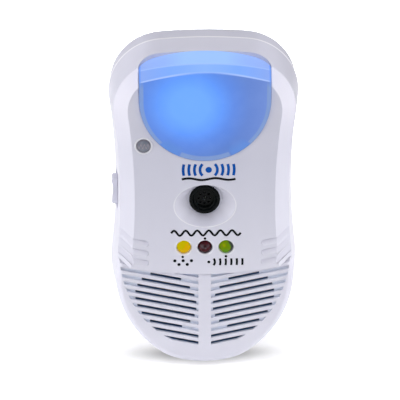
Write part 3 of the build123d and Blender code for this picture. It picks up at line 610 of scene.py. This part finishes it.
def window_material():
    """Smoky clear plug over the photocell, with the cell's fine track just visible."""
    g = Graph("clear_window")
    right, above = g.from_middle(window_middle)
    track = g.times(g.math("SINE", g.times(right, 5.0)), 0.7)
    on_track = g.fall(g.unsigned(g.minus(above, track)), 0.1, 0.35)
    tint = g.mix(on_track, (0.165, 0.185, 0.235), (0.34, 0.27, 0.30))
    tint = g.mix(g.rise(g.length(right, above), 1.9, 2.4), tint, (0.13, 0.125, 0.15))
    tint = g.paint(tint, g.rise(g.noise(1.2), 0.4, 0.7), (0.27, 0.26, 0.30), 0.5)
    g.surface(Base_Color=tint, Roughness=0.25, Specular_IOR_Level=0.3, Normal=g.rounded(0.1))
    return g.material


def cap_material():
    """Near-black plastic with a soft sheen, dusty specks and faint turning rings."""
    g = Graph("black_plastic")
    rings = g.math("SINE", g.times(g.length(*g.from_middle(cap_middle)), 9.0))
    speck = g.rise(g.noise(0.45, detail=1.0), 0.70, 0.76)
    tint = g.paint((0.0012, 0.0026, 0.0028), g.rise(rings, 0.7, 1.0), (0.0035, 0.005, 0.0052), 0.4)
    tint = g.paint(tint, speck, (0.035, 0.033, 0.04), 0.5)
    g.surface(Base_Color=tint, Roughness=g.ramp(g.noise(2.0), 0.3, 0.7, 0.22, 0.4),
              Normal=g.rounded(0.08), Specular_IOR_Level=0.1)
    return g.material


def board_material():
    """Green solder mask with faint copper tracks below it."""
    g = Graph("board")
    brick = g.add("ShaderNodeTexBrick")
    g.join(g.point(), brick.inputs["Vector"])
    brick.inputs["Scale"].default_value = 260.0
    brick.inputs["Mortar Size"].default_value = 0.03
    tracks = brick.outputs["Fac"]
    tint = g.mix(tracks, (0.02, 0.16, 0.06), (0.05, 0.28, 0.11))
    g.surface(Base_Color=tint, Roughness=g.ramp(g.noise(3.0), 0.3, 0.7, 0.28, 0.45),
              Normal=g.bump(tracks, 0.3, 0.03, g.rounded(0.1)))
    return g.material


# ---- every node's material -----------------------------------------------------------------

# Colour, colour of the flow marks, roughness.
plastics = {
    "white_inner": ((0.8, 0.8, 0.8), (0.74, 0.74, 0.73), 0.6),
    "lamp_body": ((0.7, 0.67, 0.5), (0.6, 0.57, 0.42), 0.38),
    "cone_film": ((0.008, 0.012, 0.022), (0.012, 0.018, 0.03), 0.35),
    "wire_black": ((0.02, 0.02, 0.02), (0.03, 0.03, 0.03), 0.5),
    "wire_white": ((0.75, 0.75, 0.74), (0.65, 0.65, 0.64), 0.5),
    "brown_laminate": ((0.22, 0.10, 0.03), (0.17, 0.07, 0.02), 0.5),
    "capacitor_red": ((0.42, 0.04, 0.02), (0.35, 0.03, 0.015), 0.25),
    "capacitor_sleeve": ((0.01, 0.015, 0.07), (0.01, 0.02, 0.10), 0.25),
    "ceramic_tan": ((0.55, 0.26, 0.08), (0.45, 0.2, 0.06), 0.4),
    "resistor_tan": ((0.62, 0.46, 0.26), (0.55, 0.4, 0.22), 0.4),
}

# Colour, roughness, how far the brush marks are squeezed along each axis.
metals = {
    "screw_steel": ((0.55, 0.55, 0.56), 0.32, (1, 1, 1)),
    "bright_steel": ((0.62, 0.62, 0.62), 0.26, (1, 1, 1)),
    "core_steel": ((0.22, 0.22, 0.23), 0.5, (1, 12, 1)),
    "brass_nickel": ((0.72, 0.67, 0.52), 0.22, (1, 0.1, 1)),
    "brass": ((0.70, 0.48, 0.18), 0.3, (1, 1, 1)),
    "copper": ((0.62, 0.22, 0.09), 0.35, (1, 1, 8)),
}

materials = {
    "white_shell": shell_material(),
    "blue_lens": lens_material(),
    "black_plastic": cap_material(),
    "clear_window": window_material(),
    "led_yellow": yellow_lamp(),
    "led_red": red_lamp(),
    "led_green": green_lamp(),
    "board": board_material(),
    "foam": moulded("foam", (0.03, 0.03, 0.03), (0.02, 0.02, 0.02),
                    roughness=0.9, grain=0.5, grain_depth=0.1),
}
for name, (colour, shade, roughness) in plastics.items():
    materials[name] = moulded(name, colour, shade, roughness=roughness)
for name, (colour, roughness, stretch) in metals.items():
    materials[name] = metal(name, colour, roughness, stretch)

for part in frame["record"]["subparts"]:
    node = nodes[part["node"]]
    finish = materials[part["material_slot"]]
    if node.material_slots:
        for slot in node.material_slots:
            slot.material = finish
    else:
        node.data.materials.append(finish)


# ---- printed symbols on the panel -----------------------------------------------------------

ink_finish = {"roughness": 0.5, "specular": 0.1}
black_ink = moulded("dark_print", (0.004, 0.005, 0.008), (0.009, 0.009, 0.012), **ink_finish)
blue_ink = moulded("blue_print", (0.001, 0.07, 0.36), (0.003, 0.09, 0.42), **ink_finish)
ink_lift = 0.03
ink_sink = 0.02
pointer_radius = 0.48


class Print:
    """Thin raised ink on the panel's face, built from flat outlines."""

    def __init__(self):
        self.points = []
        self.faces = []

    def shape(self, outline):
        """One filled convex outline, counter-clockwise from the front, as a thin prism."""
        first = len(self.points)
        count = len(outline)
        for depth in (panel_depth + ink_lift, panel_depth - ink_sink):
            self.points += [(x * MM, -depth * MM, z * MM) for x, z in outline]
        front = [first + index for index in range(count)]
        back = [first + count + index for index in range(count)]
        self.faces.append(front)
        self.faces.append(back[::-1])
        for index in range(count):
            after = (index + 1) % count
            self.faces.append((front[after], front[index], back[index], back[after]))

    def dot(self, x, z, radius, sides=20):
        turns = [2 * math.pi * index / sides for index in range(sides)]
        self.shape([(x + radius * math.cos(turn), z + radius * math.sin(turn)) for turn in turns])

    def ribbon(self, path, width):
        """A line of even width along a path, in short straight pieces with square joints."""
        left, right = [], []
        for index, (x, z) in enumerate(path):
            before = path[max(index - 1, 0)]
            after = path[min(index + 1, len(path) - 1)]
            along = math.hypot(after[0] - before[0], after[1] - before[1])
            aside_x = -(after[1] - before[1]) / along * width / 2
            aside_z = (after[0] - before[0]) / along * width / 2
            left.append((x + aside_x, z + aside_z))
            right.append((x - aside_x, z - aside_z))
        for index in range(len(path) - 1):
            self.shape([right[index], right[index + 1], left[index + 1], left[index]])

    def arc(self, x, z, radius, half_height, width, middle_angle=0, steps=14):
        """An arc round x and z that reaches a half height either side of its middle angle."""
        spread = math.degrees(math.asin(half_height / radius))
        start = middle_angle - spread
        turns = [math.radians(start + 2 * spread * step / steps) for step in range(steps + 1)]
        self.ribbon([(x + radius * math.cos(turn), z + radius * math.sin(turn)) for turn in turns], width)

    def wave(self, start, end, z, height, periods, width):
        """A sine wave from one x to another."""
        steps = 16 * periods
        path = []
        for step in range(steps + 1):
            share = step / steps
            swing = height / 2 * math.sin(2 * math.pi * periods * share)
            path.append((start + (end - start) * share, z + swing))
        self.ribbon(path, width)

    def piece(self, name, ink):
        mesh = bpy.data.meshes.new(name)
        mesh.from_pydata(self.points, [], self.faces)
        mesh.materials.append(ink)
        made = bpy.data.objects.new(name, mesh)
        bpy.context.scene.collection.objects.link(made)
        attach(made, "housing")


def sound_symbol():
    """Blue dot between two groups of arcs, with a dark wave below."""
    x, z = 1.3, 9.9
    underline_half = 9.6
    underline_z = 6.3
    symbol = Print()
    symbol.dot(x, z, radius=1.15)
    for radius in (3.1, 5.1, 7.1, 9.1):
        for middle_angle in (0, 180):
            symbol.arc(x, z, radius, half_height=2.2, width=1.0, middle_angle=middle_angle)
    symbol.piece("symbol_sound", blue_ink)
    underline = Print()
    underline.wave(x - underline_half, x + underline_half, underline_z, height=0.7, periods=2, width=0.85)
    underline.piece("symbol_underline", black_ink)


def pulse_symbol():
    """A wave above the lamps, with a pointer dot to the middle one."""
    wave = Print()
    wave.wave(start=-12.2, end=12.9, z=-14.9, height=2.0, periods=6, width=0.8)
    wave.dot(0.0, -17.1, pointer_radius)
    wave.piece("symbol_pulse_wave", black_ink)


def ion_symbol():
    """A zigzag cloud of dots below the left lamp, with a pointer dot."""
    x, z = -10.9, -25.9
    pitch = 1.5
    ions = Print()
    for index in range(5):
        ions.dot(x + pitch * index, z - pitch * (index % 2), radius=0.6)
    ions.dot(-8.05, -24.35, pointer_radius)
    ions.piece("symbol_ions", black_ink)


def arcs_symbol():
    """A dot with arcs to its right below the right lamp, with a pointer dot."""
    x, z = 1.4, -26.5
    arcs = Print()
    arcs.dot(x, z, radius=0.55)
    for radius in (2.2, 4.2, 6.2, 8.2, 10.2, 12.2):
        arcs.arc(x, z, radius, half_height=1.35, width=0.8, steps=8)
    arcs.dot(7.6, -24.3, pointer_radius)
    arcs.piece("symbol_sound_arcs", black_ink)


sound_symbol()
pulse_symbol()
ion_symbol()
arcs_symbol()


# ---- studio, in metres ---------------------------------------------------------------------

floor_half = 3.0
floor_gap = 0.0005
lit_middle = (0, -0.02, 0)
back_target = (0, 0, -0.006)

# Name, place, target, width and height, power in watts.
soft_boxes = (
    ("left_box", (-0.6, -0.05, 0.05), lit_middle, (0.5, 0.5), 4.4),
    ("right_box", (0.6, -0.05, 0.05), lit_middle, (0.5, 0.5), 4.2),
    ("front_box", (0, -0.55, 0.5), lit_middle, (0.5, 0.4), 1.85),
    ("top_box", (0, -0.05, 0.65), lit_middle, (0.5, 0.5), 2.1),
    ("back_box", (0, 0.5, -0.006), back_target, (0.08, 0.11), 1.3),
)


def dark_room():
    """No light from the room, so that the soft boxes alone model the shape."""
    world = bpy.data.worlds.new("studio")
    bpy.context.scene.world = world
    world.use_nodes = True
    background = world.node_tree.nodes["Background"]
    background.inputs["Color"].default_value = (1, 1, 1, 1)
    background.inputs["Strength"].default_value = 0.0


def floor_material():
    """White paper with a painted soft contact shadow, in millimetres. Its full glow is for the camera
    alone.
    """
    g = Graph("floor")
    shadow_x, shadow_depth = -0.5, 16.5
    shadow_half_width, shadow_half_depth = 45.0, 12.0
    glow_start = (50.0, 350.0)
    x, depth, _ = g.place()
    across = g.over(g.minus(x, shadow_x), shadow_half_width)
    along = g.over(g.minus(depth, shadow_depth), shadow_half_depth)
    shadow = g.colours(g.length(across, along), [
        (0.0, (0.30, 0.30, 0.29)), (0.3, (0.39, 0.39, 0.38)), (0.52, (0.68, 0.68, 0.67)),
        (0.75, (0.90, 0.90, 0.89)), (1.0, (1.0, 1.0, 1.0))])
    far = g.rise(g.length(x, depth), *glow_start)
    seen_glow = g.mix(far, (0.42, 0.42, 0.42), (1.0, 1.0, 1.0))
    seen = g.add("ShaderNodeLightPath").outputs["Is Camera Ray"]
    glow = g.mix(seen, (0.135, 0.135, 0.135), seen_glow)
    paper = g.mix(g.rise(g.noise(200.0), 0.3, 0.7), (0.92, 0.92, 0.92), (0.90, 0.90, 0.90))
    g.surface(Base_Color=g.shade(paper, 1.0, shadow), Roughness=0.9, Specular_IOR_Level=0.0,
              Emission_Color=g.shade(glow, 1.0, shadow), Emission_Strength=1.0)
    return g.material


def paper_floor():
    """A pale floor just under the object, wide enough to fill the view."""
    half = floor_half
    mesh = bpy.data.meshes.new("floor")
    mesh.from_pydata([(-half, -half, 0), (half, -half, 0), (half, half, 0), (-half, half, 0)],
                     [], [(0, 1, 2, 3)])
    mesh.materials.append(floor_material())
    floor = bpy.data.objects.new("floor", mesh)
    floor.location.z = cad_box[0][2] - floor_gap
    bpy.context.scene.collection.objects.link(floor)


def soft_box(name, place, target, size, power):
    data = bpy.data.lights.new(name, "AREA")
    data.shape = "RECTANGLE"
    data.size, data.size_y = size
    data.energy = power
    light = bpy.data.objects.new(name, data)
    light.location = place
    light.rotation_euler = (Vector(target) - Vector(place)).to_track_quat("-Z", "Y").to_euler()
    bpy.context.scene.collection.objects.link(light)


def camera():
    """Long lens from slightly left of the front, looking down at the panel."""
    data = bpy.data.cameras.new("camera")
    data.sensor_width = 36.0
    data.lens = 211.9
    data.clip_start = 0.01
    rig = bpy.data.objects.new("camera", data)
    rig.location = (-0.0219, -0.7984, 0.3450)
    rig.rotation_euler = (math.radians(65.7), 0, math.radians(-1.5))
    bpy.context.scene.collection.objects.link(rig)
    bpy.context.scene.camera = rig


dark_room()
paper_floor()
for box in soft_boxes:
    soft_box(*box)
camera()
bpy.context.scene.view_settings.view_transform = "Standard"
